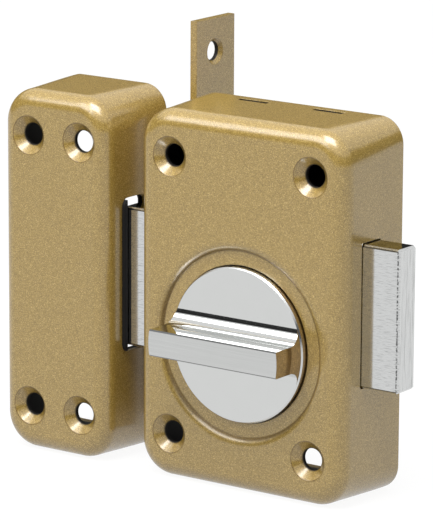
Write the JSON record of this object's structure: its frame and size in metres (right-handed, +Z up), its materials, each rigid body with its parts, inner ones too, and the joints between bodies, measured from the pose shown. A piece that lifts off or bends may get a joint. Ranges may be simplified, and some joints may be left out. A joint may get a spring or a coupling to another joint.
{
  "type": "rim deadbolt",
  "caption": "Rim deadbolt: a cast lock case with a thumb-turn that drives a flat through bolt by rack and pinion, with its matching keep and a steel angle for the jamb.",
  "frame": {"origin": "centre of the lock case's open back, in the plane that lies on the door", "axes": "+Y into the door, the front faces -Y; +Z up; +X to the right, away from the keep, along the bolt"},
  "size_m": [0.1305, 0.0594, 0.1254],
  "materials": {
    "bronze_paint": "fine metallic bronze paint, semi-gloss",
    "polished_nickel": "polished nickel plate",
    "nickel_plated_steel": "ground and nickel plated",
    "zinc_plated_steel": "bright zinc plate",
    "bright_steel": "turned",
    "spring_steel": "blued spring steel",
    "brass": "turned",
    "nylon": "moulded"
  },
  "bodies": {
    "case_and_keep": {"case_shell": "bronze_paint", "back_cover": "zinc_plated_steel", "cover_screws": "zinc_plated_steel", "knob_bush": "nylon", "rear_bush": "brass", "bolt_guide_left": "nylon", "bolt_guide_right": "nylon", "brake_shoe": "nylon", "brake_spring": "spring_steel", "keep_shell": "bronze_paint", "keep_angle": "bronze_paint"},
    "thumb_turn": {"knob": "polished_nickel", "pinion_shaft": "bright_steel", "knob_screw": "zinc_plated_steel", "spring_washer": "spring_steel", "retaining_ring": "spring_steel"},
    "bolt": {"bolt": "nickel_plated_steel", "bolt_stop_pin": "bright_steel"}
  },
  "joints": [
    {"name": "bolt_slide", "type": "slide", "parent": "case_and_keep", "child": "bolt", "axis": [1, 0, 0], "range_m": [-0.01178, 0.01178]},
    {"name": "thumb_turn_spin", "type": "hinge", "parent": "case_and_keep", "child": "thumb_turn", "pos_m": [0, -0.0284, -0.0106], "axis": [0, 1, 0], "range_deg": [-180, 180]}
  ],
  "couplings": [
    {"joint": "thumb_turn_spin", "follows": "bolt_slide", "rad_per_m": 266.67}
  ]
}
